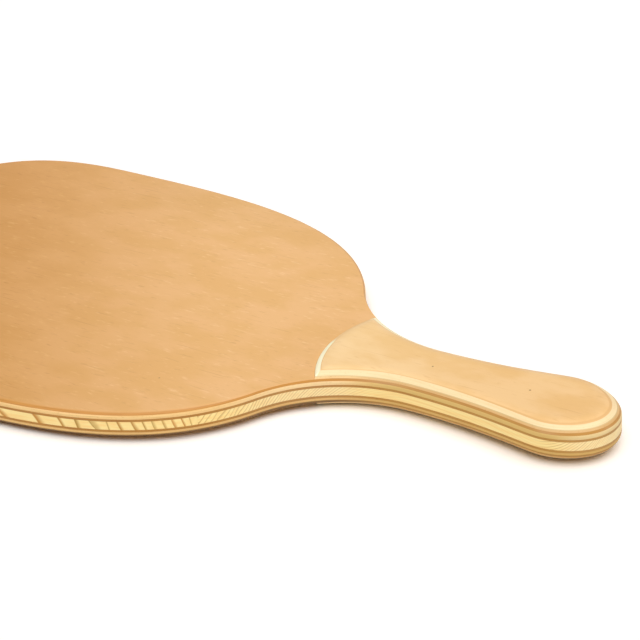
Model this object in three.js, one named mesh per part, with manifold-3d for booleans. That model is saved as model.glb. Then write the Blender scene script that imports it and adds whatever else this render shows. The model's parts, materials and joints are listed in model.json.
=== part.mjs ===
// A frescobol racket: a plywood blade with a glued three-ply scale on each side of its handle.
// Millimetres, +Z up. It lies flat: the head points to -X, the butt of the handle to +X, and the
// origin is under the middle of its length, on the lower scale's face.
import * as THREE from "three";
import Module from "manifold-3d";

const wasm = await Module();
wasm.setup();

// Driving dimensions of the outline, measured back from the butt where they name a place
const racketLength = 470;
const headWidth = 230;
const headWidestPlace = 356;
const throatWidth = 106.4;
const throatPlace = 165.6;
const throatAngle = 59.8;
const neckWidth = 35.8;
const neckPlace = 100.5;
const flareWidth = 48;
const flarePlace = 30.2;

// Driving dimensions of the plies
const coreThickness = 4.7;
const innerVeneerThickness = 1.35;
const crossPlyThickness = 2;
const faceVeneerThickness = 1.2;
const scaleInnerVeneerThickness = 1.1;
const scaleCoreThickness = 1.65;
const scaleFaceVeneerThickness = 0.75;
const centreBoardWidth = 153;

// Driving dimensions of the scales and of the rounded edges
const scaleLength = 155.3;
const scaleEndRadius = 54;
const handleRoundOut = 8.5;
const handleRoundDown = 6.5;
const buttRoundOut = 10.5;
const scaleEndRound = 8.2;
const arrisRadius = 2.5;
const arrisRunIn = 45;

// How far each curve of the outline keeps its end's direction, as shares of the sizes beside it
const tipPullShare = 1;
const shoulderPullShare = 0.343;
const flankPullShare = 0.375;
const throatHeadPullShare = 0.374;
const throatNeckPullShare = 0.372;
const neckHeadPullShare = 0.424;
const neckButtPullShare = 0.576;
const flareHeadPullShare = 0.13;
const flareButtPullShare = 0.467;
const buttPullShare = 0.626;

// Steps along the five curves of the outline, across a rounded edge and round the scale's end
const curveSteps = [14, 16, 12, 7, 9];
const roundSteps = 4;
const endSteps = 28;

// The least gap between two of a ply's rings, and how far a cutting block runs past what it cuts
const leastStep = 0.1;
const overrun = 5;

const buttX = racketLength / 2;
const bladeHalf = coreThickness / 2 + innerVeneerThickness + crossPlyThickness + faceVeneerThickness;
const scaleThickness = scaleInnerVeneerThickness + scaleCoreThickness + scaleFaceVeneerThickness;
const handleHalf = bladeHalf + scaleThickness;
const scaleEndX = buttX - scaleLength;

// A point of the outline, by its distance from the butt and the racket's width there
function place(fromButt, width) {
  return new THREE.Vector2(buttX - fromButt, width / 2);
}

// A cubic curve that leaves one point along a direction and reaches the next along another
function bend(start, startDirection, startPull, end, endDirection, endPull) {
  const leaving = start.clone().addScaledVector(startDirection, startPull);
  const arriving = end.clone().addScaledVector(endDirection, -endPull);
  return new THREE.CubicBezierCurve(start, leaving, arriving, end);
}

// One side of the outline, from the tip to the butt
function sideCurves() {
  const outwards = new THREE.Vector2(0, 1);
  const backwards = new THREE.Vector2(1, 0);
  const inwards = new THREE.Vector2(0, -1);
  const slope = THREE.MathUtils.degToRad(throatAngle);
  const intoThroat = new THREE.Vector2(Math.cos(slope), -Math.sin(slope));
  const tip = place(racketLength, 0);
  const widest = place(headWidestPlace, headWidth);
  const throat = place(throatPlace, throatWidth);
  const neck = place(neckPlace, neckWidth);
  const flare = place(flarePlace, flareWidth);
  const butt = place(0, 0);
  const crown = racketLength - headWidestPlace;
  const flank = headWidestPlace - throatPlace;
  const shank = throatPlace - neckPlace;
  const grip = neckPlace - flarePlace;
  return [
    bend(tip, outwards, tipPullShare * widest.y, widest, backwards, shoulderPullShare * crown),
    bend(widest, backwards, flankPullShare * flank, throat, intoThroat, throatHeadPullShare * flank),
    bend(throat, intoThroat, throatNeckPullShare * shank, neck, backwards, neckHeadPullShare * shank),
    bend(neck, backwards, neckButtPullShare * grip, flare, backwards, flareHeadPullShare * grip),
    bend(flare, backwards, flareButtPullShare * flarePlace, butt, inwards, buttPullShare * flare.y),
  ];
}

// The whole outline as stations, each a point with its outward direction, turning left seen from above
function outlineStations() {
  const side = [];
  sideCurves().forEach((curve, which) => {
    const steps = curveSteps[which];
    for (let step = which === 0 ? 0 : 1; step <= steps; step++) {
      const along = curve.getTangent(step / steps);
      side.push({ point: curve.getPoint(step / steps), out: new THREE.Vector2(-along.y, along.x) });
    }
  });
  const mirrored = side.map(({ point, out }) => ({
    point: new THREE.Vector2(point.x, -point.y),
    out: new THREE.Vector2(out.x, -out.y),
  }));
  return [...mirrored, ...side.slice(1, -1).reverse()];
}

const stations = outlineStations();

// A ring of points at one height, each station drawn in from the outline by its own inset
function ring(height, insetAt) {
  return stations.map((station) => {
    const drawn = station.point.clone().addScaledVector(station.out, -insetAt(station.point));
    return new THREE.Vector3(drawn.x, drawn.y, height);
  });
}

// A closed solid skinned over rings, the lowest first
function skin(rings) {
  const size = rings[0].length;
  const index = [];
  for (let level = 0; level + 1 < rings.length; level++) {
    for (let i = 0; i < size; i++) {
      const low = level * size + i;
      const lowNext = level * size + ((i + 1) % size);
      index.push(low, lowNext, lowNext + size);
      index.push(low, lowNext + size, low + size);
    }
  }
  const capOf = (points) =>
    THREE.ShapeUtils.triangulateShape(points.map((point) => new THREE.Vector2(point.x, point.y)), []);
  const top = (rings.length - 1) * size;
  capOf(rings[0]).forEach(([a, b, c]) => index.push(a, c, b));
  capOf(rings[rings.length - 1]).forEach(([a, b, c]) => index.push(top + a, top + b, top + c));
  const geometry = new THREE.BufferGeometry().setFromPoints(rings.flat());
  geometry.setIndex(index);
  return geometry;
}

// An upright block between two places along and two across, for cutting
function block(backX, frontX, nearY, farY, heights) {
  return skin(
    heights.map((height) => [
      new THREE.Vector3(backX, nearY, height),
      new THREE.Vector3(frontX, nearY, height),
      new THREE.Vector3(frontX, farY, height),
      new THREE.Vector3(backX, farY, height),
    ]),
  );
}

// How far a rounded edge has drawn in at a depth under its face: a quarter of an ellipse
function roundInset(depth, out, down) {
  const left = THREE.MathUtils.clamp(1 - depth / down, 0, 1);
  return out * (1 - Math.sqrt(1 - left * left));
}

// The heights that a ply needs: its own two, and each rounded edge's steps between them
function heightsBetween(low, high, rounds) {
  const heights = [low, high];
  for (const { face, down } of rounds) {
    for (let step = 1; step <= roundSteps; step++) {
      const turn = (step / roundSteps) * (Math.PI / 2);
      const height = face - down * (1 - Math.cos(turn));
      const clear = heights.every((other) => Math.abs(other - height) > leastStep);
      if (clear && height > low && height < high) heights.push(height);
    }
  }
  return heights.sort((a, b) => a - b);
}

// The handle's rounded side, which cuts through the scale into the blade and widens round the butt
function handleInset(height, point) {
  const butt = THREE.MathUtils.smoothstep(point.x, buttX - flarePlace, buttX);
  const out = THREE.MathUtils.lerp(handleRoundOut, buttRoundOut, butt);
  return roundInset(handleHalf - Math.abs(height), out, handleRoundDown);
}

// Turns rings made for the upper side over to the lower side, the lowest first again
function onSide(side, rings) {
  if (side > 0) return rings;
  return rings.map((points) => points.map((point) => point.clone().setZ(-point.z))).reverse();
}

// The blade's edge: the head's small arris, run into the handle's rounded side ahead of the scales
function bladeInset(height, point) {
  const handle = THREE.MathUtils.smoothstep(point.x, scaleEndX - arrisRunIn, scaleEndX);
  const arris = roundInset(bladeHalf - Math.abs(height), arrisRadius, arrisRadius);
  return THREE.MathUtils.lerp(arris, handleInset(height, point), handle);
}

// One ply of the blade between two distances from its middle
function bladePly(low, high, side) {
  const rounds = [{ face: bladeHalf, down: arrisRadius }, { face: handleHalf, down: handleRoundDown }];
  const heights = heightsBetween(low, high, rounds);
  const rings = heights.map((height) => ring(height, (point) => bladeInset(height, point)));
  return skin(onSide(side, rings));
}

// The scale's end, seen from above: an arc bulging to the head, run back past the butt
function endRing(height, radius) {
  const centreX = scaleEndX + scaleEndRadius;
  const backX = buttX + overrun;
  const points = [new THREE.Vector3(backX, radius, height)];
  for (let step = 0; step <= endSteps; step++) {
    const turn = Math.PI / 2 + (step / endSteps) * Math.PI;
    points.push(new THREE.Vector3(centreX + radius * Math.cos(turn), radius * Math.sin(turn), height));
  }
  points.push(new THREE.Vector3(backX, -radius, height));
  return points;
}

// One ply of a scale: the handle's rounded sides cut by the rounded end, so their rims meet in a mitre
function scalePly(low, high, side) {
  const rounds = [{ face: handleHalf, down: scaleThickness }, { face: handleHalf, down: handleRoundDown }];
  const heights = heightsBetween(low, high, rounds);
  const endInset = (height) => roundInset(handleHalf - height, scaleEndRound, scaleThickness);
  const sides = heights.map((height) => ring(height, (point) => handleInset(height, point)));
  const ends = heights.map((height) => endRing(height, scaleEndRadius - endInset(height)));
  const below = ends[0].map((point) => point.clone().setZ(low - overrun));
  const above = ends[ends.length - 1].map((point) => point.clone().setZ(high + overrun));
  const handle = solidOf(skin(onSide(side, sides)));
  const tongue = solidOf(skin(onSide(side, [below, ...ends, above])));
  return geometryOf(handle.intersect(tongue));
}

// The three edge-glued boards of the core, cut from one slab by the two planes of their joints
function coreBoards() {
  const slab = solidOf(bladePly(-coreThickness / 2, coreThickness / 2, 1));
  const joint = centreBoardWidth / 2;
  const edge = Math.max(headWidth / 2, joint) + overrun;
  const end = buttX + overrun;
  const heights = [-handleHalf, handleHalf];
  const between = (nearY, farY) =>
    geometryOf(slab.intersect(solidOf(block(-end, end, nearY, farY, heights))));
  return {
    core_board_right: between(-edge, -joint),
    core_board_centre: between(-joint, joint),
    core_board_left: between(joint, edge),
  };
}

function solidOf(geometry) {
  return new wasm.Manifold(
    new wasm.Mesh({
      numProp: 3,
      vertProperties: geometry.getAttribute("position").array,
      triVerts: new Uint32Array(geometry.index.array),
    }),
  );
}

function geometryOf(solid) {
  const mesh = solid.getMesh();
  const geometry = new THREE.BufferGeometry();
  geometry.setAttribute("position", new THREE.BufferAttribute(mesh.vertProperties, 3));
  geometry.setIndex(new THREE.BufferAttribute(mesh.triVerts, 1));
  return geometry;
}

function wood(color, roughness) {
  return new THREE.MeshStandardMaterial({ color, roughness, metalness: 0 });
}

function addPiece(group, name, geometry, material) {
  geometry.computeVertexNormals();
  const mesh = new THREE.Mesh(geometry, material);
  mesh.name = name;
  group.add(mesh);
}

const paleCore = () => wood("#f8d897", 0.6);
const brownVeneer = () => wood("#b98245", 0.6);
const palePly = () => wood("#ecc78a", 0.6);
const faceVeneer = () => wood("#eebb82", 0.5);
const scaleVeneer = () => wood("#f6cb8f", 0.5);
const rimPly = () => wood("#fbe4b0", 0.55);

const racket = new THREE.Group();
racket.name = "frescobol_racket";
racket.position.z = handleHalf;

const blade = new THREE.Group();
blade.name = "blade";
racket.add(blade);
Object.entries(coreBoards()).forEach(([name, geometry]) => addPiece(blade, name, geometry, paleCore()));

// Each side of the core carries the same plies, named from the core outwards
const bladePlies = [
  ["inner_veneer", innerVeneerThickness, brownVeneer],
  ["cross_ply", crossPlyThickness, palePly],
  ["face_veneer", faceVeneerThickness, faceVeneer],
];
const scalePlies = [
  ["scale_inner_veneer", scaleInnerVeneerThickness, scaleVeneer],
  ["scale_core", scaleCoreThickness, rimPly],
  ["scale_face_veneer", scaleFaceVeneerThickness, scaleVeneer],
];

for (const [sideName, side] of [["top", 1], ["bottom", -1]]) {
  const scale = new THREE.Group();
  scale.name = `scale_${sideName}`;
  racket.add(scale);
  let low = coreThickness / 2;
  for (const [name, thickness, material] of bladePlies) {
    addPiece(blade, `${name}_${sideName}`, bladePly(low, low + thickness, side), material());
    low += thickness;
  }
  for (const [name, thickness, material] of scalePlies) {
    addPiece(scale, `${name}_${sideName}`, scalePly(low, low + thickness, side), material());
    low += thickness;
  }
}

export default racket;
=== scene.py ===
"""A frescobol racket lying flat: a plywood blade with a three-ply scale on each side of its handle.

Metres, in the part's frame: the head points to -X, the butt of the handle to +X, and Z runs up
through the plies. Every ply is a slab between a near and a far edge curve, skinned as a closed grid.
"""

import json
import math

import bpy
import numpy as np
from mathutils import Matrix, Vector

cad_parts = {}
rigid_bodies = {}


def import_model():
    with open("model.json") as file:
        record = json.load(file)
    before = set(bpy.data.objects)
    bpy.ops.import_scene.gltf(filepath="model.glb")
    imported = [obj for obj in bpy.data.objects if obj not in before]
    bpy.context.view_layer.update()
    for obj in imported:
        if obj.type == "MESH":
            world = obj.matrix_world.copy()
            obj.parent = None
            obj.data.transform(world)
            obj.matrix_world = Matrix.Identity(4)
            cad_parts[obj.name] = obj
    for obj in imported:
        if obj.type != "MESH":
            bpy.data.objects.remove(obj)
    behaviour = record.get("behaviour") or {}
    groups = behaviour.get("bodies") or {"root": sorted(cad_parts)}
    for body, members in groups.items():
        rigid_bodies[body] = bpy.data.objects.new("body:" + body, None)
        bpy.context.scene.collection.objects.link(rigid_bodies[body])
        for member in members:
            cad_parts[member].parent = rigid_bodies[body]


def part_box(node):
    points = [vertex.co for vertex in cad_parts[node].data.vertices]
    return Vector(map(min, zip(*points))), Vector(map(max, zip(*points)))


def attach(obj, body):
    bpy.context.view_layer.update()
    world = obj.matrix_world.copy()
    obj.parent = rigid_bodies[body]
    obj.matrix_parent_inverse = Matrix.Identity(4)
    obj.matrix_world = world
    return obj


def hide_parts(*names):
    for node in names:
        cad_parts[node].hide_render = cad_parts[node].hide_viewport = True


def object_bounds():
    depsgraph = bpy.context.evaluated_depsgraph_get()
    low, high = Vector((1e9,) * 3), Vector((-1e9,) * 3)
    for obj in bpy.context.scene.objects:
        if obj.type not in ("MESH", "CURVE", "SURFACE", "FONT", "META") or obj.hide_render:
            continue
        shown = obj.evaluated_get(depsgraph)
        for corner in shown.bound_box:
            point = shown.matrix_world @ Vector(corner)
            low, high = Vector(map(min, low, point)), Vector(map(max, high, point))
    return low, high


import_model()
CAD_BOX = [list(corner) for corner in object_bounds()]

# Sizes of the outline, by distance from the butt
RACKET_LENGTH = 0.470
HEAD_WIDTH, HEAD_WIDEST_PLACE = 0.230, 0.356
THROAT_WIDTH, THROAT_PLACE, THROAT_ANGLE = 0.1064, 0.1656, 59.8
NECK_WIDTH, NECK_PLACE = 0.0358, 0.1005
FLARE_WIDTH, FLARE_PLACE = 0.048, 0.0302
BUTT_X = RACKET_LENGTH / 2

# How far each curve of the outline keeps its end's direction, as shares of the sizes beside it
TIP_PULL, SHOULDER_PULL = 1.0, 0.343
FLANK_PULL, THROAT_HEAD_PULL = 0.375, 0.374
THROAT_NECK_PULL, NECK_HEAD_PULL = 0.372, 0.424
NECK_BUTT_PULL, FLARE_HEAD_PULL = 0.576, 0.130
FLARE_BUTT_PULL, BUTT_PULL = 0.467, 0.626

# Sizes of the scales, the rounded edges and the core's joints
SCALE_LENGTH, SCALE_END_RADIUS = 0.1553, 0.054
HANDLE_ROUND_OUT, HANDLE_ROUND_DOWN = 0.0085, 0.0065
BUTT_ROUND_OUT, SCALE_END_ROUND = 0.0105, 0.0082
ARRIS_RADIUS, ARRIS_RUN_IN = 0.0025, 0.045
BOARD_JOINT_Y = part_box("core_board_centre")[1].y
SCALE_END_X = BUTT_X - SCALE_LENGTH

# How finely the surfaces are cut
CURVE_SAMPLES = 400
OUTLINE_STEPS = 420
END_STEPS = 70
SIDE_STEPS = 170
ROUND_STEPS = 12
ACROSS_STEPS = 14
CAP_BORDER = 0.0012
LEAST_STEP, LEAST_WIDTH = 0.00005, 1e-9
SHARP_ANGLE = 30

# Heights of the plies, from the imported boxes
HANDLE_BOTTOM, HANDLE_TOP = CAD_BOX[0][2], CAD_BOX[1][2]
MID_Z = (HANDLE_BOTTOM + HANDLE_TOP) / 2
BLADE_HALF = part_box("face_veneer_top")[1].z - MID_Z
HANDLE_HALF = HANDLE_TOP - MID_Z
SCALE_THICKNESS = HANDLE_HALF - BLADE_HALF

# Woods: patterns are in millimetres, and heights there count from the middle of the racket's thickness
MILLIMETRES = 1000.0
SPECULAR = 0.35
FACE_ROUGHNESS, EDGE_ROUGHNESS = 0.42, 0.5
PORE_DEPTH, RING_DEPTH = 0.00003, 0.00002


def linear(channel):
    """One sRGB channel, 0 to 255, as the linear value that a shader takes."""
    value = channel / 255
    return value / 12.92 if value <= 0.04045 else ((value + 0.055) / 1.055) ** 2.4


def rgb(red, green, blue):
    """A colour as a picture shows it, each channel 0 to 255, in the shader's linear light."""
    return (linear(red), linear(green), linear(blue), 1.0)


# The head's face veneer and its cut edge, above and below
HEAD_PALE, HEAD_DEEP = rgb(236, 185, 125), rgb(230, 178, 112)
DARK_STROKE, LIGHT_STROKE = rgb(205, 150, 88), rgb(253, 214, 162)
# The first of these is painted shade, which darkens the head toward the tip.
TIP_PAINTED_SHADE, FAR_TONE, HEAD_KNOT = rgb(218, 198, 150), rgb(247, 246, 240), rgb(190, 138, 80)
HEAD_EDGE, HANDLE_EDGE, BROWN_STREAK = rgb(198, 138, 66), rgb(190, 138, 68), rgb(164, 108, 44)
# Painted shade: the first and last of these darken the lower cut edge; the tan is a band of its own.
LOW_SHADED_EDGE, LOW_TAN, LOW_SHADED_BROWN = rgb(118, 82, 36), rgb(214, 164, 92), rgb(178, 126, 50)

# The cross plies, the brown veneers and the core
CROSS_TONES = rgb(243, 201, 135), rgb(216, 181, 106), rgb(212, 164, 92)
# Painted shade: darker copies of the pale ply's tones for the lower one, and a dark line at its foot.
SHADED_LOW_CROSS_TONES = rgb(230, 187, 118), rgb(214, 174, 98), rgb(200, 150, 84)
LOW_SHADE_LINE = rgb(142, 104, 54)
BROWN_TONES = rgb(184, 129, 58), rgb(188, 137, 62), rgb(158, 102, 40)
CORE_PALE, CORE_DEEP = rgb(255, 227, 154), rgb(253, 215, 138)
OUTER_LATE_TONES = rgb(178, 134, 54), rgb(204, 132, 50)
CENTRE_LATE_TONES = rgb(214, 168, 98), rgb(206, 156, 88)
# A painted sheen: the near white that pales cut edges where they face the light.
PAINTED_SHEEN_TONE = rgb(255, 236, 196)

# The scales
SCALE_PALE, SCALE_DEEP, BUTT_TONE = rgb(249, 212, 157), rgb(241, 199, 136), rgb(249, 241, 231)
SCALE_KNOT, SCALE_EDGE = rgb(156, 108, 62), rgb(229, 181, 119)
UNDERLAY_TONES = rgb(242, 203, 144), rgb(219, 178, 120), rgb(196, 146, 84)
GLUE_TONE, RIM_TONE, RIM_STREAK = rgb(216, 190, 138), rgb(247, 219, 170), rgb(238, 202, 146)
# Painted light on the scale's front end: a near-white painted highlight, then a tan painted shade.
PAINTED_HIGHLIGHT_TONE, FAR_END_SHADE_TONE = rgb(255, 249, 213), rgb(240, 198, 138)

# Figure of the veneers: cells of noise to a millimetre along X, Y and Z, and the noise at which it shows
MOTTLING = (0.03, 0.055, 0.05), (0.35, 0.65)
DARK_STROKES = (0.16, 0.8, 1.0), (0.6, 0.78)
LIGHT_STROKES = (0.17, 0.7, 0.9), (0.58, 0.8)
HAIRLINES = (0.035, 1.3, 0.8), (0.64, 0.74)
EDGE_STREAKS = (0.07, 0.07, 2.2), (0.4, 0.7)
EDGE_FLECKS = (0.9, 0.9, 1.2), (0.55, 0.75)
PORE_CELLS = (0.22, 1.1, 1.0)
HEAD_STROKE_SHARE, SCALE_STROKE_SHARE, EDGE_STREAK_SHARE = 0.42, 0.2, 0.3
PLY_STREAK_SHARE, RIM_STREAK_SHARE = 0.4, 0.5
BROWN_STREAK_SHARE = 0.5

# Knots: X and Y on the face and radius; the full tone reaches a share of the radius, and fades past it
HEAD_KNOTS = ((19.1, -62.0, 0.5),)
SCALE_KNOTS = ((138.5, -1.2, 0.45), (189.9, 0.0, 0.5))
KNOT_CORE_SHARE, KNOT_FADE_SHARE = 0.4, 1.4

# Where the head's tones change: along X or Y, or by height
# The tip's painted shade fades along X, on a line that leans with Y.
TIP_SHADE_FADE, TIP_SHADE_LEAN = (-190.0, 40.0), 0.55
FAR_FADE, FAR_FADE_RUN_IN = (60.0, 110.0), (-130.0, -80.0)
HANDLE_TONE_FADE = (92.0, 128.0)
UPPER_SIDE = (-1.0, 1.0)
# The second sets where the painted shade line at the lower pale ply's foot fades.
LOW_TAN_FADE, LOW_SHADE_LINE_FADE = (-6.3, -6.0), (-5.2, -4.9)
EDGE_LINE_NARROWS, EDGE_LINE_DEPTH, EDGE_LINE_LEAST = (70.0, 95.0), 0.3, 0.02

# Painted sheen on the cut plies where they face the light: throat and butt, and how much it pales them
THROAT_START, THROAT_END, BUTT_START = (55.0, 80.0), (95.0, 115.0), (210.0, 226.0)
PALE_SHEEN_SHARE, BROWN_SHEEN_SHARE = 0.3, 0.05

# Where the scale's tones change: its front end, its mitres, its rim and its glue line
BUTT_TONE_FADE = (70.0, 190.0)
MITRE_FADE, FAR_MITRE_FADE = (89.3, 90.3), (24.0, 27.0)
NEAR_END_FADE, FAR_END_FADE = (-3.0, 4.0), (-2.0, 5.0)
FACE_LINE_DEPTHS = (0.78, 0.52)
# A painted highlight along the far side past the mitre: where it starts, where it fades, its share.
FAR_RIM_START, FAR_RIM_END, FAR_RIM_SHARE = (10.0, 16.0), (92.0, 130.0), 0.7
# Painted shade on the rim's top: where it spreads toward the butt, how deep it reaches, its blur.
RIM_NARROWS, RIM_NARROWING, RIM_BLUR = (120.0, 230.0), 0.45, 0.12
GLUE_LINE_START, GLUE_LINE_END = (-0.35, -0.2), (0.0, 0.1)

# Growth rings: pitch, lean with the height and drift in rings
OUTER_RING_PITCH, OUTER_RING_START, OUTER_RING_LEAN = 2.567, 109.4, 0.13
CLOSE_RING_PITCH, CLOSE_RINGS_END, RING_WIDENING, CENTRE_RING_LEAN = 1.0, 33.0, 0.035, 0.65
RING_DRIFT, DRIFTING = 0.22, ((0.003, 0.22, 0.02), (0.25, 0.75))
EARLY_WOOD = (0.02, 0.4, 0.8), (0.35, 0.7)
RING_DARKENS, LEAST_RING_STRENGTH = 0.93, 0.6
OUTER_RING_SHARES, CENTRE_RING_SHARES = (0.2, 0.42), (0.3, 0.6)
SHANK_START, SHANK_END, SHANK_FADE = (88.0, 118.0), (203.0, 214.0), 0.8

# The photograph's viewpoint: degrees, metres, and a focal length in pixels of the photograph
CAMERA_AZIMUTH, CAMERA_PITCH, CAMERA_ROLL = 33.45, 31.33, -4.63
CAMERA_PLACE = (0.5528, -0.7234, 0.5579)
FOCAL_PIXELS, IMAGE_PIXELS, SENSOR = 2050, 640, 36
CLIP_NEAR, CLIP_FAR = 0.01, 100

# Places of a Mix node's sockets: its share, its numbers or its colours, and the blend among its outputs
MIX_SHARE = 0
NUMBER_A, NUMBER_B, NUMBER_OUT = 2, 3, 0
COLOR_A, COLOR_B, COLOR_OUT = 6, 7, 2

# The studio: floor and surround, and each lamp's name, strength, spread in degrees and direction
FLOOR_REACH = 6.0
FLOOR_TO_LIGHT, FLOOR_TO_EYE = (0.85, 0.85, 0.85, 1.0), (1.26, 1.22, 1.18, 1.0)
SURROUND_LOW, SURROUND_HIGH = 0.0, 0.34
LAMPS = (
    ("key", 2.25, 62, (0.28, -0.12, 1.0)),
    ("fill", 1.2, 20, (-0.15, -1.0, 0.36)),
    ("edge", 0.8, 20, (1.0, 0.25, 0.15)),
)


def cubic(start, start_way, start_pull, end, end_way, end_pull):
    """Bezier curve that leaves start along start_way and reaches end along end_way: points, slopes."""
    a, d = np.array(start), np.array(end)
    b, c = a + start_pull * np.array(start_way), d - end_pull * np.array(end_way)
    t = np.linspace(0, 1, CURVE_SAMPLES)[:, None]
    points = (1 - t) ** 3 * a + 3 * (1 - t) ** 2 * t * b + 3 * (1 - t) * t**2 * c + t**3 * d
    slopes = (1 - t) ** 2 * (b - a) + 2 * (1 - t) * t * (c - b) + t**2 * (d - c)
    return points, slopes / np.linalg.norm(slopes, axis=1)[:, None]


def side_outline():
    """Far half of the outline, tip to butt, as five cubic curves: points, outward ways and length run."""
    outwards, backwards, inwards = (0, 1), (1, 0), (0, -1)
    slope = math.radians(THROAT_ANGLE)
    into_throat = (math.cos(slope), -math.sin(slope))
    tip = (BUTT_X - RACKET_LENGTH, 0)
    widest = (BUTT_X - HEAD_WIDEST_PLACE, HEAD_WIDTH / 2)
    throat = (BUTT_X - THROAT_PLACE, THROAT_WIDTH / 2)
    neck = (BUTT_X - NECK_PLACE, NECK_WIDTH / 2)
    flare = (BUTT_X - FLARE_PLACE, FLARE_WIDTH / 2)
    butt = (BUTT_X, 0)
    crown, flank = RACKET_LENGTH - HEAD_WIDEST_PLACE, HEAD_WIDEST_PLACE - THROAT_PLACE
    shank, grip = THROAT_PLACE - NECK_PLACE, NECK_PLACE - FLARE_PLACE
    half_head, half_flare = HEAD_WIDTH / 2, FLARE_WIDTH / 2
    curves = [
        cubic(tip, outwards, TIP_PULL * half_head, widest, backwards, SHOULDER_PULL * crown),
        cubic(widest, backwards, FLANK_PULL * flank, throat, into_throat, THROAT_HEAD_PULL * flank),
        cubic(throat, into_throat, THROAT_NECK_PULL * shank, neck, backwards, NECK_HEAD_PULL * shank),
        cubic(neck, backwards, NECK_BUTT_PULL * grip, flare, backwards, FLARE_HEAD_PULL * grip),
        cubic(flare, backwards, FLARE_BUTT_PULL * FLARE_PLACE, butt, inwards, BUTT_PULL * half_flare),
    ]
    points = np.vstack([curve[0][(i > 0) :] for i, curve in enumerate(curves)])
    slopes = np.vstack([curve[1][(i > 0) :] for i, curve in enumerate(curves)])
    ways = np.stack([-slopes[:, 1], slopes[:, 0]], 1)
    run = np.concatenate([[0], np.cumsum(np.linalg.norm(np.diff(points, axis=0), axis=1))])
    return points, ways, run


OUTLINE, OUTWARD, RUN = side_outline()
PAST_WIDEST = RUN[CURVE_SAMPLES]


def stations(start, end, count):
    """Points and outward ways of the outline at even steps between two lengths run from the tip."""
    at = np.linspace(start, end, count + 1)
    points = np.stack([np.interp(at, RUN, OUTLINE[:, k]) for k in (0, 1)], 1)
    ways = np.stack([np.interp(at, RUN, OUTWARD[:, k]) for k in (0, 1)], 1)
    return points, ways / np.linalg.norm(ways, axis=1)[:, None]


def run_at(values, wanted, after=0.0):
    """Length run at which a value that varies along the outline first passes wanted, past a start."""
    beyond = (RUN[:-1] >= after) & ((values[:-1] - wanted) * (values[1:] - wanted) <= 0)
    i = int(np.argmax(beyond))
    share = (wanted - values[i]) / (values[i + 1] - values[i])
    return RUN[i] + share * (RUN[i + 1] - RUN[i])


def round_inset(depth, out, down):
    """How far a quarter ellipse, out wide and down deep, has drawn in at a depth below the face."""
    left = np.clip(1 - depth / down, 0, 1)
    return out * (1 - np.sqrt(1 - left**2))


def smooth_step(value, start, end):
    """0 before start, 1 after end, and an S-shaped ease between them."""
    t = np.clip((value - start) / (end - start), 0, 1)
    return t * t * (3 - 2 * t)


def handle_inset(height, x):
    """The handle's side: a quarter ellipse from the scale's face into the blade, wider round the butt."""
    butt = smooth_step(x, BUTT_X - FLARE_PLACE, BUTT_X)
    out = HANDLE_ROUND_OUT + (BUTT_ROUND_OUT - HANDLE_ROUND_OUT) * butt
    return round_inset(HANDLE_HALF - abs(height), out, HANDLE_ROUND_DOWN)


def heights_between(low, high, rounds):
    """The two heights of a ply and the steps of each rounded edge between them, at even turns."""
    turns = np.linspace(0, math.pi / 2, ROUND_STEPS + 1)[1:]
    heights = [low, high]
    for face, down in rounds:
        for step in face - down * (1 - np.cos(turns)):
            clear = min(abs(step - other) for other in heights) > LEAST_STEP
            if clear and low < step < high:
                heights.append(step)
    return np.sort(heights)


def blade_edges(heights):
    """Far edge of the blade at each height: the head's arris eases into the handle's rounded side."""
    points, ways = stations(0, RUN[-1], OUTLINE_STEPS)
    share = smooth_step(points[:, 0], SCALE_END_X - ARRIS_RUN_IN, SCALE_END_X)
    arris = round_inset(BLADE_HALF - np.abs(heights), ARRIS_RADIUS, ARRIS_RADIUS)
    handle = np.array([handle_inset(height, points[:, 0]) for height in heights])
    inset = arris[:, None] * (1 - share) + handle * share
    return points[None] - ways[None] * inset[..., None]


def scale_edges(heights):
    """Far edge of a scale at each height: an arc from its middle to the mitre, then the side to the butt.

    Side and end draw in by their own quarter ellipses, and the mitre is where the two edges meet.
    """
    centre = np.array([SCALE_END_X + SCALE_END_RADIUS, 0])
    edges = []
    for height in heights:
        side = handle_inset(height, OUTLINE[:, 0])
        depth = HANDLE_HALF - height
        radius = SCALE_END_RADIUS - float(round_inset(depth, SCALE_END_ROUND, SCALE_THICKNESS))
        drawn = OUTLINE - OUTWARD * side[:, None]
        mitre = run_at(np.linalg.norm(drawn - centre, axis=1), radius, PAST_WIDEST)
        points, ways = stations(mitre, RUN[-1], SIDE_STEPS)
        points = points - ways * handle_inset(height, points[:, 0])[:, None]
        turn = math.atan2(points[0, 1], points[0, 0] - centre[0])
        turns = np.linspace(math.pi, turn, END_STEPS + 1)[:-1]
        arc = centre + radius * np.stack([np.cos(turns), np.sin(turns)], 1)
        edges.append(np.vstack([arc, points]))
    return np.array(edges)


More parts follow.
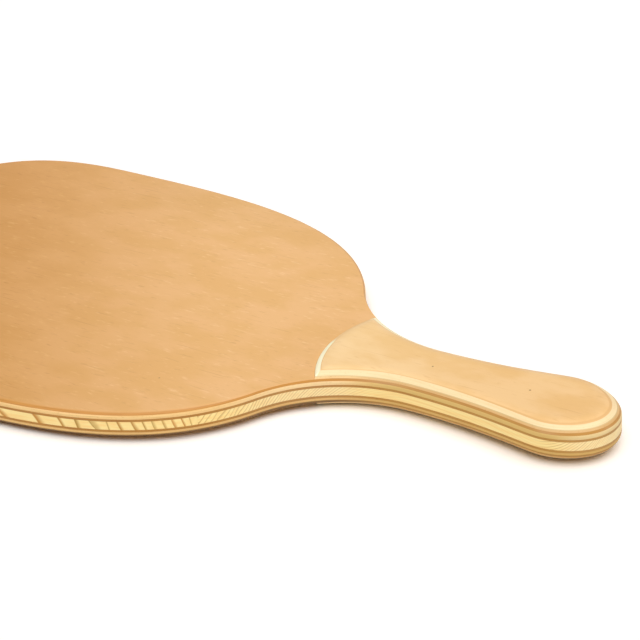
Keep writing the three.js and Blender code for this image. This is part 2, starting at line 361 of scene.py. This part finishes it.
def closed_slab(name, heights, far, near):
    """A closed body between a near and a far edge curve, given at each height from low to high.

    far and near hold (height, station, x y) and share their first and last stations. The walls are
    grids of station by height; each cap is a grid of station by share across, with a narrow border.
    """
    levels, count = far.shape[:2]
    z = np.broadcast_to(heights[:, None, None], (levels, count, 1))
    far_points, near_points = np.concatenate([far, z], 2), np.concatenate([near, z], 2)
    width = np.linalg.norm(far - near, axis=2)[[0, -1]]
    border = np.clip(CAP_BORDER / np.maximum(width, LEAST_WIDTH), 0, 0.5 / ACROSS_STEPS)[..., None]
    inner = np.linspace(0, 1, ACROSS_STEPS + 1)[None, None, 1:-1]
    shares = np.concatenate([border, inner + 0 * border, 1 - border], 2)[..., None]
    caps = near_points[[0, -1]][:, :, None] * (1 - shares) + far_points[[0, -1]][:, :, None] * shares
    verts = np.concatenate([far_points.reshape(-1, 3), near_points.reshape(-1, 3), caps.reshape(-1, 3)])
    far_ids = np.arange(levels * count).reshape(levels, count)
    near_ids = far_ids + levels * count
    near_ids[:, [0, -1]] = far_ids[:, [0, -1]]
    across = shares.shape[2]
    cap_ids = 2 * levels * count + np.arange(2 * count * across).reshape(2, count, across)
    grids = [far_ids, near_ids[:, ::-1]]
    for which, level in ((0, 0), (1, levels - 1)):
        ids = np.concatenate([near_ids[level][:, None], cap_ids[which], far_ids[level][:, None]], 1)
        ids[[0, -1]] = far_ids[level][[0, -1], None]
        grids.append(ids if which else ids[:, ::-1])
    quads = np.vstack([corners_of(grid) for grid in grids])
    return mesh_object(name, verts, quads)


def corners_of(grid):
    """The four corner indices of every cell of an index grid, anticlockwise seen from outside."""
    a, b, c, d = grid[:-1, :-1], grid[1:, :-1], grid[1:, 1:], grid[:-1, 1:]
    return np.stack([a, b, c, d], -1).reshape(-1, 4)


def mesh_object(name, verts, quads):
    """A mesh from corner lists: a cell that has lost a side is a triangle, one that has lost two goes.

    A side is lost where a corner is also the next one. Points that no cell uses go too.
    """
    distinct = quads != np.roll(quads, -1, axis=1)
    kept = distinct.sum(axis=1) >= 3
    used, corners = np.unique(quads[kept], return_inverse=True)
    corners = corners.reshape(-1, 4)
    faces = [cell[sides].tolist() for cell, sides in zip(corners, distinct[kept])]
    mesh = bpy.data.meshes.new(name)
    mesh.from_pydata(verts[used], [], faces)
    mesh.polygons.foreach_set("use_smooth", np.ones(len(mesh.polygons), bool))
    mesh.set_sharp_from_angle(angle=math.radians(SHARP_ANGLE))
    mesh.update()
    piece = bpy.data.objects.new(name, mesh)
    bpy.context.scene.collection.objects.link(piece)
    return piece


def mirrored(far):
    """The near edge that matches a far edge: the same curve with its Y turned over."""
    return far * np.array([1.0, -1.0])


def node_heights(node):
    """Lowest and highest height of a CAD node, counted from the middle of the racket's thickness."""
    low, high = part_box(node)
    return low.z - MID_Z, high.z - MID_Z


def ply(node, edges_at, rounds, slot, material):
    """One ply from its CAD node's two heights; a ply under the middle is the upper one turned over."""
    low, high = node_heights(node)
    below = high < 0
    if below:
        low, high = -high, -low
    heights = heights_between(low, high, rounds)
    far = edges_at(heights)
    if below:
        heights, far = -heights[::-1], far[::-1]
    piece = closed_slab(node + "_fine", heights + MID_Z, far, mirrored(far))
    dress(piece, node, material)


def core_board(node, which, material):
    """One board of the core: the outline between two joints; which is -1, 0 or 1 from near to far."""
    low, high = node_heights(node)
    heights = np.array([low, high])
    if which == 0:
        points = stations(0, RUN[-1], OUTLINE_STEPS)[0]
        far = np.stack([points[:, 0], np.minimum(points[:, 1], BOARD_JOINT_Y)], 1)
        near = far * np.array([1, -1])
    else:
        first = run_at(OUTLINE[:, 1], BOARD_JOINT_Y)
        last = run_at(OUTLINE[:, 1], BOARD_JOINT_Y, PAST_WIDEST)
        outer = stations(first, last, OUTLINE_STEPS // 2)[0]
        joint = np.stack([outer[:, 0], np.full(len(outer), BOARD_JOINT_Y)], 1)
        far, near = (outer, joint) if which > 0 else (joint * [1, -1], outer * [1, -1])
    far, near = (np.stack([edge, edge]) for edge in (far, near))
    piece = closed_slab(node + "_fine", heights + MID_Z, far, near)
    dress(piece, node, material)


def dress(piece, node, material):
    """Stands a fine piece in for its CAD node and gives it its wood."""
    piece.data.materials.append(material)
    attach(piece, "root")
    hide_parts(node)


class Wood:
    """A wood's shader graph, with places in millimetres and heights counted from the racket's middle.

    Each method adds a node and returns its output. A plain number or colour is set on the socket itself.
    """

    def __init__(self, name, roughness):
        """Starts with a plain shader, the place on the racket and its X, Y and height."""
        self.material = bpy.data.materials.new(name)
        self.material.use_nodes = True
        self.tree = self.material.node_tree
        self.shader = self.tree.nodes["Principled BSDF"]
        self.shader.inputs["Roughness"].default_value = roughness
        self.shader.inputs["Specular IOR Level"].default_value = SPECULAR
        self.place = self.scaled(self.add("ShaderNodeTexCoord").outputs["Object"], (MILLIMETRES,) * 3)
        axes = self.add("ShaderNodeSeparateXYZ")
        self.join(axes, 0, self.place)
        self.x, self.y = axes.outputs["X"], axes.outputs["Y"]
        self.height = self.math("SUBTRACT", axes.outputs["Z"], MID_Z * MILLIMETRES)

    def add(self, kind, **settings):
        """A new node of a kind, with its settings."""
        node = self.tree.nodes.new(kind)
        for name, value in settings.items():
            setattr(node, name, value)
        return node

    def join(self, node, socket, value):
        """Feeds an input of a node from another node's output, or sets it to a plain value."""
        if isinstance(value, bpy.types.NodeSocket):
            self.tree.links.new(value, node.inputs[socket])
        else:
            node.inputs[socket].default_value = value

    def math(self, operation, *values):
        """One step of arithmetic on up to three values."""
        node = self.add("ShaderNodeMath", operation=operation)
        for socket, value in enumerate(values):
            self.join(node, socket, value)
        return node.outputs[0]

    def scaled(self, vector, factors):
        """A vector times three factors, axis by axis."""
        node = self.add("ShaderNodeVectorMath", operation="MULTIPLY")
        self.join(node, 0, vector)
        self.join(node, 1, factors)
        return node.outputs[0]

    def noise(self, factors, detail=2.0, roughness=0.5):
        """Noise whose cells are one over the three factors long, in millimetres along X, Y and Z."""
        node = self.add("ShaderNodeTexNoise")
        self.join(node, "Vector", self.scaled(self.place, factors))
        self.join(node, "Scale", 1.0)
        self.join(node, "Detail", detail)
        self.join(node, "Roughness", roughness)
        return node.outputs[0]

    def chance(self, number):
        """One random value for each whole number."""
        node = self.add("ShaderNodeTexWhiteNoise", noise_dimensions="1D")
        self.join(node, "W", number)
        return node.outputs["Value"]

    def ease(self, value, start, end, low=0.0, high=1.0):
        """low before start, high past end, and an S-shaped ease between them."""
        node = self.add("ShaderNodeMapRange", interpolation_type="SMOOTHSTEP")
        for socket, setting in enumerate((value, start, end, low, high)):
            self.join(node, socket, setting)
        return node.outputs[0]

    def both(self, first, second):
        """The product of two shares: full where both are."""
        return self.math("MULTIPLY", first, second)

    def outer(self):
        """The height above or below the racket's middle, without its sign."""
        return self.math("ABSOLUTE", self.height)

    def blend(self, share, first, second, how="MIX"):
        """The first colour, turned by a share into the second one or into its product with it."""
        node = self.add("ShaderNodeMix", data_type="RGBA", blend_type=how)
        self.join(node, MIX_SHARE, share)
        self.join(node, COLOR_A, first)
        self.join(node, COLOR_B, second)
        return node.outputs[COLOR_OUT]

    def mark(self, color, tone, share, cells, shows, detail=2.0):
        """Lays a tone over a colour, by a share at most, where a noise rises through what shows."""
        return self.blend(self.ease(self.noise(cells, detail), *shows, 0.0, share), color, tone)

    def between(self, value, start, end):
        """1 past the start's ease and before the end's, and 0 elsewhere."""
        return self.both(self.ease(value, *start), self.ease(value, *end, 1.0, 0.0))

    def specks(self, color, tone, places):
        """Small round knots, each at its X and Y on a face and with its radius, in millimetres."""
        for x, y, radius in places:
            across = self.math("POWER", self.math("SUBTRACT", self.x, x), 2.0)
            along = self.math("POWER", self.math("SUBTRACT", self.y, y), 2.0)
            away = self.math("SQRT", self.math("ADD", across, along))
            fade = radius * KNOT_CORE_SHARE, radius * KNOT_FADE_SHARE
            color = self.blend(self.ease(away, *fade, 1.0, 0.0), color, tone)
        return color

    def painted_sheen(self, color, share):
        """Pales a cut edge by a painted sheen, in the throat and round the butt, where it faces the light.
        """
        throat = self.between(self.x, THROAT_START, THROAT_END)
        sheen_places = self.math("MAXIMUM", throat, self.ease(self.x, *BUTT_START))
        return self.blend(self.both(sheen_places, share), color, PAINTED_SHEEN_TONE)

    def finish(self, color, relief, depth):
        """Gives the shader its colour and a fine relief, whose full height is depth in metres."""
        self.join(self.shader, "Base Color", color)
        node = self.add("ShaderNodeBump")
        self.join(node, "Distance", depth)
        self.join(node, "Height", relief)
        self.join(self.shader, "Normal", node.outputs[0])
        return self.material

    def finish_face(self, color):
        """A finished face, with fine pores along the grain."""
        return self.finish(color, self.noise(PORE_CELLS), PORE_DEPTH)

    def finish_edge(self, color):
        """A finished cut edge, with fine ridges along the ply."""
        return self.finish(color, self.noise(EDGE_STREAKS[0], detail=3.0), RING_DEPTH)


def face_wood(name, pale, deep, stroke_share):
    """Veneer with its grain along X: soft mottling, short dark and light strokes, a few long hairlines."""
    wood = Wood(name, FACE_ROUGHNESS)
    cells, shows = MOTTLING
    color = wood.blend(wood.ease(wood.noise(cells, detail=3.0, roughness=0.55), *shows), pale, deep)
    color = wood.mark(color, DARK_STROKE, stroke_share, *DARK_STROKES)
    color = wood.mark(color, LIGHT_STROKE, stroke_share, *LIGHT_STROKES)
    color = wood.mark(color, DARK_STROKE, stroke_share, *HAIRLINES)
    return wood, color


def head_face():
    """The head's veneer: painted shade toward the tip, deeper to the far side, and orange-brown where cut.

    Below the middle, painted shade darkens the cut edge; in the handle it is tan over a shaded brown.
    """
    wood, color = face_wood("face_veneer", HEAD_PALE, HEAD_DEEP, HEAD_STROKE_SHARE)
    # Painted shade: the head darkens toward the tip, on a line that leans across it.
    along = wood.math("MULTIPLY_ADD", wood.y, TIP_SHADE_LEAN, wood.x)
    color = wood.blend(wood.ease(along, *TIP_SHADE_FADE, 1.0, 0.0), color, TIP_PAINTED_SHADE, "MULTIPLY")
    far_side = wood.both(wood.ease(wood.y, *FAR_FADE), wood.ease(wood.x, *FAR_FADE_RUN_IN))
    color = wood.blend(far_side, color, FAR_TONE, "MULTIPLY")
    color = wood.specks(color, HEAD_KNOT, HEAD_KNOTS)
    toward_handle = wood.ease(wood.x, *HANDLE_TONE_FADE)
    edge = wood.blend(toward_handle, HEAD_EDGE, HANDLE_EDGE)
    edge = wood.mark(edge, BROWN_STREAK, EDGE_STREAK_SHARE, *EDGE_STREAKS)
    # Painted shade below the middle: a dark cut edge in the head, tan over a darkened brown in the handle.
    shaded_low_handle_edge = wood.blend(wood.ease(wood.height, *LOW_TAN_FADE), LOW_TAN, LOW_SHADED_BROWN)
    shaded_low_edge = wood.blend(toward_handle, LOW_SHADED_EDGE, shaded_low_handle_edge)
    edge = wood.blend(wood.ease(wood.height, *UPPER_SIDE), shaded_low_edge, edge)
    top = BLADE_HALF * MILLIMETRES
    cut = wood.ease(wood.x, *EDGE_LINE_NARROWS, top - EDGE_LINE_DEPTH, top - EDGE_LINE_LEAST)
    color = wood.blend(wood.ease(wood.outer(), cut, top), edge, color)
    return wood.finish_face(color)


def scale_end(wood):
    """Shares of the near and far halves of the scale's end, up to its mitres, fading at its middle."""
    end = wood.ease(wood.x, *MITRE_FADE, 1.0, 0.0)
    near_half = wood.both(wood.ease(wood.y, *NEAR_END_FADE, 1.0, 0.0), end)
    far_half = wood.both(wood.ease(wood.y, *FAR_END_FADE), end)
    return near_half, far_half


def scale_face():
    """The scale's face veneer: paler, a little deeper toward the butt, with two tiny knots."""
    wood, color = face_wood("scale_veneer", SCALE_PALE, SCALE_DEEP, SCALE_STROKE_SHARE)
    color = wood.blend(wood.ease(wood.x, *BUTT_TONE_FADE), color, BUTT_TONE, "MULTIPLY")
    color = wood.specks(color, SCALE_KNOT, SCALE_KNOTS)
    top = HANDLE_HALF * MILLIMETRES
    fade = [top - depth for depth in FACE_LINE_DEPTHS]
    # The far half of the end's edge band takes the tan that paints the far end's shade.
    edge = wood.blend(scale_end(wood)[1], SCALE_EDGE, FAR_END_SHADE_TONE)
    color = wood.blend(wood.ease(wood.outer(), *fade), edge, color)
    return wood.finish_face(color)


def edge_wood(name, tones, streak_share):
    """A ply seen at its cut edge: thin streaks along the ply, and a slow change from head to handle.

    tones holds the head's, the handle's and the streaks' colours.
    """
    wood = Wood(name, EDGE_ROUGHNESS)
    head_tone, handle_tone, streak_tone = tones
    color = wood.blend(wood.ease(wood.x, *HANDLE_TONE_FADE), head_tone, handle_tone)
    color = wood.mark(color, streak_tone, streak_share, *EDGE_STREAKS, detail=3.0)
    color = wood.mark(color, streak_tone, streak_share, *EDGE_FLECKS)
    return wood, color


def edge_ply(name, tones, streak_share, sheen_share):
    """A ply's cut edge, paled by a share of painted sheen in the throat and round the butt."""
    wood, color = edge_wood(name, tones, streak_share)
    return wood.finish_edge(wood.painted_sheen(color, sheen_share))


def shaded_low_cross_ply():
    """The lower pale ply, darker than the upper one and with a brown foot line, both as painted shade."""
    wood, color = edge_wood("cross_ply_low_shaded", SHADED_LOW_CROSS_TONES, PLY_STREAK_SHARE)
    line = wood.blend(wood.ease(wood.x, *HANDLE_TONE_FADE), LOW_SHADE_LINE, LOW_SHADED_BROWN)
    color = wood.blend(wood.ease(wood.height, *LOW_SHADE_LINE_FADE), line, color)
    return wood.finish_edge(color)


def scale_underlay():
    """The scale's inner veneer: tan, with a thin grey glue line under the pale core."""
    wood, color = edge_wood("scale_inner_veneer", UNDERLAY_TONES, PLY_STREAK_SHARE)
    top = node_heights("scale_inner_veneer_top")[1] * MILLIMETRES
    start = [top + offset for offset in GLUE_LINE_START]
    end = [top + offset for offset in GLUE_LINE_END]
    color = wood.blend(wood.between(wood.outer(), start, end), color, GLUE_TONE)
    return wood.finish_edge(color)


def scale_rim():
    """The scale's pale core: a cream rim that narrows toward the butt, where painted shade tints its top.

    On the scale's front end a painted highlight pales the near half and painted shade darkens the far half
    to tan; a painted highlight brings the cream back at the far mitre and a little way along the far side.
    """
    wood, color = edge_wood("scale_core", (RIM_TONE, RIM_TONE, RIM_STREAK), RIM_STREAK_SHARE)
    near_half, far_half = scale_end(wood)
    # Painted highlight on the near half of the end.
    color = wood.blend(near_half, color, PAINTED_HIGHLIGHT_TONE)
    top = node_heights("scale_core_top")[1] * MILLIMETRES
    # Painted shade: toward the butt the rim's top takes the darker edge tone.
    shade = wood.ease(wood.x, *RIM_NARROWS, top, top - RIM_NARROWING)
    shaded = wood.ease(wood.math("SUBTRACT", wood.outer(), shade), 0.0, RIM_BLUR)
    color = wood.blend(shaded, color, SCALE_EDGE)
    # Painted shade on the far half of the end; painted highlight at the far mitre and along the far side.
    color = wood.blend(far_half, color, FAR_END_SHADE_TONE)
    color = wood.blend(wood.both(wood.ease(wood.y, *FAR_MITRE_FADE), far_half), color, PAINTED_HIGHLIGHT_TONE)
    fading = wood.ease(wood.x, *FAR_RIM_END, FAR_RIM_SHARE, 0.0)
    past_mitre = wood.both(wood.ease(wood.x, *MITRE_FADE), fading)
    color = wood.blend(wood.both(wood.ease(wood.y, *FAR_RIM_START), past_mitre), color, PAINTED_HIGHLIGHT_TONE)
    return wood.finish_edge(color)


def ringed_wood(name, rings_of, fades, tones):
    """Softwood cut across its growth rings: each ring starts sharply dark and fades to pale.

    rings_of makes the count of rings up to a place; its fraction is the place within one ring. fades
    holds the least and the greatest share of a ring that its dark line takes. In the handle's shank the
    edge runs along the grain, and the rings hardly show. A ring draws its width, strength and tone by
    its number, at the number itself and a half and a quarter past it.
    """
    wood = Wood(name, EDGE_ROUGHNESS)
    cells, shows = DRIFTING
    drift = wood.ease(wood.noise(cells, detail=1.0), *shows, -RING_DRIFT, RING_DRIFT)
    rings = wood.math("ADD", rings_of(wood), drift)
    within = wood.math("FRACT", rings)
    number = wood.math("FLOOR", rings)
    fade_end = wood.ease(wood.chance(number), 0.0, 1.0, *fades)
    fading, darkening = wood.ease(within, 0.0, fade_end, 1.0, 0.0), wood.ease(within, RING_DARKENS, 1.0)
    late = wood.math("MAXIMUM", fading, darkening)
    draw = wood.chance(wood.math("ADD", number, 0.5))
    strength = wood.ease(draw, 0.0, 1.0, LEAST_RING_STRENGTH, 1.0)
    shank = wood.between(wood.x, SHANK_START, SHANK_END)
    clear = wood.math("MULTIPLY_ADD", shank, -SHANK_FADE, 1.0)
    late = wood.both(wood.both(late, strength), clear)
    late_tone = wood.blend(wood.chance(wood.math("ADD", number, 0.25)), *tones)
    cells, shows = EARLY_WOOD
    early_tone = wood.blend(wood.ease(wood.noise(cells, detail=3.0), *shows), CORE_PALE, CORE_DEEP)
    # A painted sheen pales the core's edge in the throat and round the butt.
    color = wood.painted_sheen(wood.blend(late, early_tone, late_tone), PALE_SHEEN_SHARE)
    return wood.finish(color, late, RING_DEPTH)


def outer_rings(wood):
    """Nearly upright rings, an even pitch apart across the board, that lean a little with the height."""
    inward = wood.math("MULTIPLY", wood.math("ABSOLUTE", wood.y), -1.0)
    lean = wood.math("MULTIPLY", wood.height, OUTER_RING_LEAN)
    across = wood.math("ADD", wood.math("ADD", inward, lean), OUTER_RING_START)
    return wood.math("DIVIDE", across, OUTER_RING_PITCH)


def centre_rings(wood):
    """Steeply leaning rings: evenly close round the middle, then wider apart toward the board's sides."""
    lean = wood.math("MULTIPLY", wood.height, -CENTRE_RING_LEAN)
    across = wood.math("ADD", wood.y, lean)
    outward = wood.math("ABSOLUTE", across)
    close = wood.math("DIVIDE", wood.math("MINIMUM", outward, CLOSE_RINGS_END), CLOSE_RING_PITCH)
    past = wood.math("MAXIMUM", wood.math("SUBTRACT", outward, CLOSE_RINGS_END), 0.0)
    growth = wood.math("MULTIPLY_ADD", past, RING_WIDENING / CLOSE_RING_PITCH, 1.0)
    wide = wood.math("DIVIDE", wood.math("LOGARITHM", growth, math.e), RING_WIDENING)
    return wood.math("MULTIPLY", wood.math("ADD", close, wide), wood.math("SIGN", across))


FACE = head_face()
SCALE = scale_face()
UNDERLAY = scale_underlay()
CROSS = edge_ply("cross_ply", CROSS_TONES, PLY_STREAK_SHARE, PALE_SHEEN_SHARE)
SHADED_LOW_CROSS = shaded_low_cross_ply()
BROWN = edge_ply("inner_veneer", BROWN_TONES, BROWN_STREAK_SHARE, BROWN_SHEEN_SHARE)
RIM = scale_rim()
OUTER_CORE = ringed_wood("core_outer", outer_rings, OUTER_RING_SHARES, OUTER_LATE_TONES)
CENTRE_CORE = ringed_wood("core_centre", centre_rings, CENTRE_RING_SHARES, CENTRE_LATE_TONES)

for side in ("top", "bottom"):
    side_round = (HANDLE_HALF, HANDLE_ROUND_DOWN)
    blade = (blade_edges, [(BLADE_HALF, ARRIS_RADIUS), side_round])
    scale = (scale_edges, [(HANDLE_HALF, SCALE_THICKNESS), side_round])
    ply(f"inner_veneer_{side}", *blade, "inner_veneer", BROWN)
    # The lower pale ply takes the darker wood that paints its shade.
    ply(f"cross_ply_{side}", *blade, "cross_ply", CROSS if side == "top" else SHADED_LOW_CROSS)
    ply(f"face_veneer_{side}", *blade, "face_veneer", FACE)
    ply(f"scale_inner_veneer_{side}", *scale, "scale_veneer", UNDERLAY)
    ply(f"scale_core_{side}", *scale, "scale_core", RIM)
    ply(f"scale_face_veneer_{side}", *scale, "scale_veneer", SCALE)
core_board("core_board_right", -1, OUTER_CORE)
core_board("core_board_centre", 0, CENTRE_CORE)
core_board("core_board_left", 1, OUTER_CORE)


def make_camera():
    """The photograph's viewpoint: its place, its azimuth and pitch, and a small roll about its own axis."""
    azimuth, pitch, roll = (math.radians(a) for a in (CAMERA_AZIMUTH, CAMERA_PITCH, CAMERA_ROLL))
    level = math.cos(pitch)
    ahead = Vector((-math.sin(azimuth) * level, math.cos(azimuth) * level, -math.sin(pitch)))
    across = Vector((math.cos(azimuth), math.sin(azimuth), 0))
    up = across.cross(ahead)
    right = math.cos(roll) * across + math.sin(roll) * up
    top = -math.sin(roll) * across + math.cos(roll) * up
    data = bpy.data.cameras.new("camera")
    data.sensor_width = SENSOR
    data.lens = SENSOR * FOCAL_PIXELS / IMAGE_PIXELS
    data.clip_start, data.clip_end = CLIP_NEAR, CLIP_FAR
    camera = bpy.data.objects.new("camera", data)
    turn = Matrix((right, top, -ahead)).transposed().to_4x4()
    camera.matrix_world = Matrix.Translation(CAMERA_PLACE) @ turn
    bpy.context.scene.collection.objects.link(camera)
    bpy.context.scene.camera = camera


def make_floor():
    """A white floor that touches the lower scale's front edge and the head's tip.

    It rises from the one to the other by the scale's thickness.
    """
    slope = SCALE_THICKNESS / (RACKET_LENGTH - SCALE_LENGTH)
    mesh = bpy.data.meshes.new("floor")
    corners = [(x * FLOOR_REACH, y * FLOOR_REACH) for x, y in ((-1, -1), (1, -1), (1, 1), (-1, 1))]
    verts = [(x, y, (SCALE_END_X - x) * slope) for x, y in corners]
    mesh.from_pydata(verts, [], [(0, 1, 2, 3)])
    floor = bpy.data.objects.new("floor", mesh)
    bpy.context.scene.collection.objects.link(floor)
    mesh.materials.append(floor_white())


def seen_directly(nodes, links):
    """1 for rays that see a surface, straight, in a gloss or through glass; 0 for those that light it."""
    rays = nodes.new("ShaderNodeLightPath")
    seen = rays.outputs["Is Camera Ray"]
    for other in ("Is Glossy Ray", "Is Transmission Ray"):
        either = nodes.new("ShaderNodeMath")
        links.new(seen, either.inputs[0])
        links.new(rays.outputs[other], either.inputs[1])
        seen = either.outputs[0]
    return seen


def floor_white():
    """Matt white, brighter to the eye than to the light: plain white away from the shadow."""
    material = bpy.data.materials.new("floor")
    material.use_nodes = True
    nodes, links = material.node_tree.nodes, material.node_tree.links
    nodes.clear()
    tone = nodes.new("ShaderNodeMix")
    tone.data_type = "RGBA"
    tone.inputs[COLOR_A].default_value = FLOOR_TO_LIGHT
    tone.inputs[COLOR_B].default_value = FLOOR_TO_EYE
    matt = nodes.new("ShaderNodeBsdfDiffuse")
    links.new(seen_directly(nodes, links), tone.inputs[MIX_SHARE])
    links.new(tone.outputs[COLOR_OUT], matt.inputs["Color"])
    links.new(matt.outputs[0], nodes.new("ShaderNodeOutputMaterial").inputs["Surface"])
    return material


def make_surround():
    """The studio's surround: its light grows with the square of the height, and it looks plain white."""
    world = bpy.data.worlds.new("world")
    world.use_nodes = True
    nodes, links = world.node_tree.nodes, world.node_tree.links
    way = nodes.new("ShaderNodeSeparateXYZ")
    links.new(nodes.new("ShaderNodeTexCoord").outputs["Generated"], way.inputs[0])
    height = nodes.new("ShaderNodeMath")
    height.operation = "POWER"
    height.use_clamp = True
    height.inputs[1].default_value = 2.0
    links.new(way.outputs["Z"], height.inputs[0])
    glow = nodes.new("ShaderNodeMapRange")
    glow.inputs["To Min"].default_value = SURROUND_LOW
    glow.inputs["To Max"].default_value = SURROUND_HIGH
    links.new(height.outputs[0], glow.inputs["Value"])
    level = nodes.new("ShaderNodeMix")
    level.inputs[NUMBER_B].default_value = 1.0
    links.new(seen_directly(nodes, links), level.inputs[MIX_SHARE])
    links.new(glow.outputs[0], level.inputs[NUMBER_A])
    links.new(level.outputs[NUMBER_OUT], nodes["Background"].inputs["Strength"])
    nodes["Background"].inputs["Color"].default_value = (1, 1, 1, 1)
    bpy.context.scene.world = world


def make_lamps():
    """A broad soft lamp above, and two low ones that light the racket's sides and not the floor."""
    racket = bpy.data.collections.new("lit from the sides")
    for piece in list(bpy.context.scene.objects):
        if piece.name.endswith("_fine"):
            racket.objects.link(piece)
    for name, energy, spread, way in LAMPS:
        data = bpy.data.lights.new(name, "SUN")
        data.energy = energy
        data.angle = math.radians(spread)
        lamp = bpy.data.objects.new(name, data)
        lamp.matrix_world = Vector(way).to_track_quat("Z", "Y").to_matrix().to_4x4()
        bpy.context.scene.collection.objects.link(lamp)
        if name != "key":
            lamp.light_linking.receiver_collection = racket


make_camera()
make_floor()
make_surround()
make_lamps()
bpy.context.scene.view_settings.view_transform = "Standard"
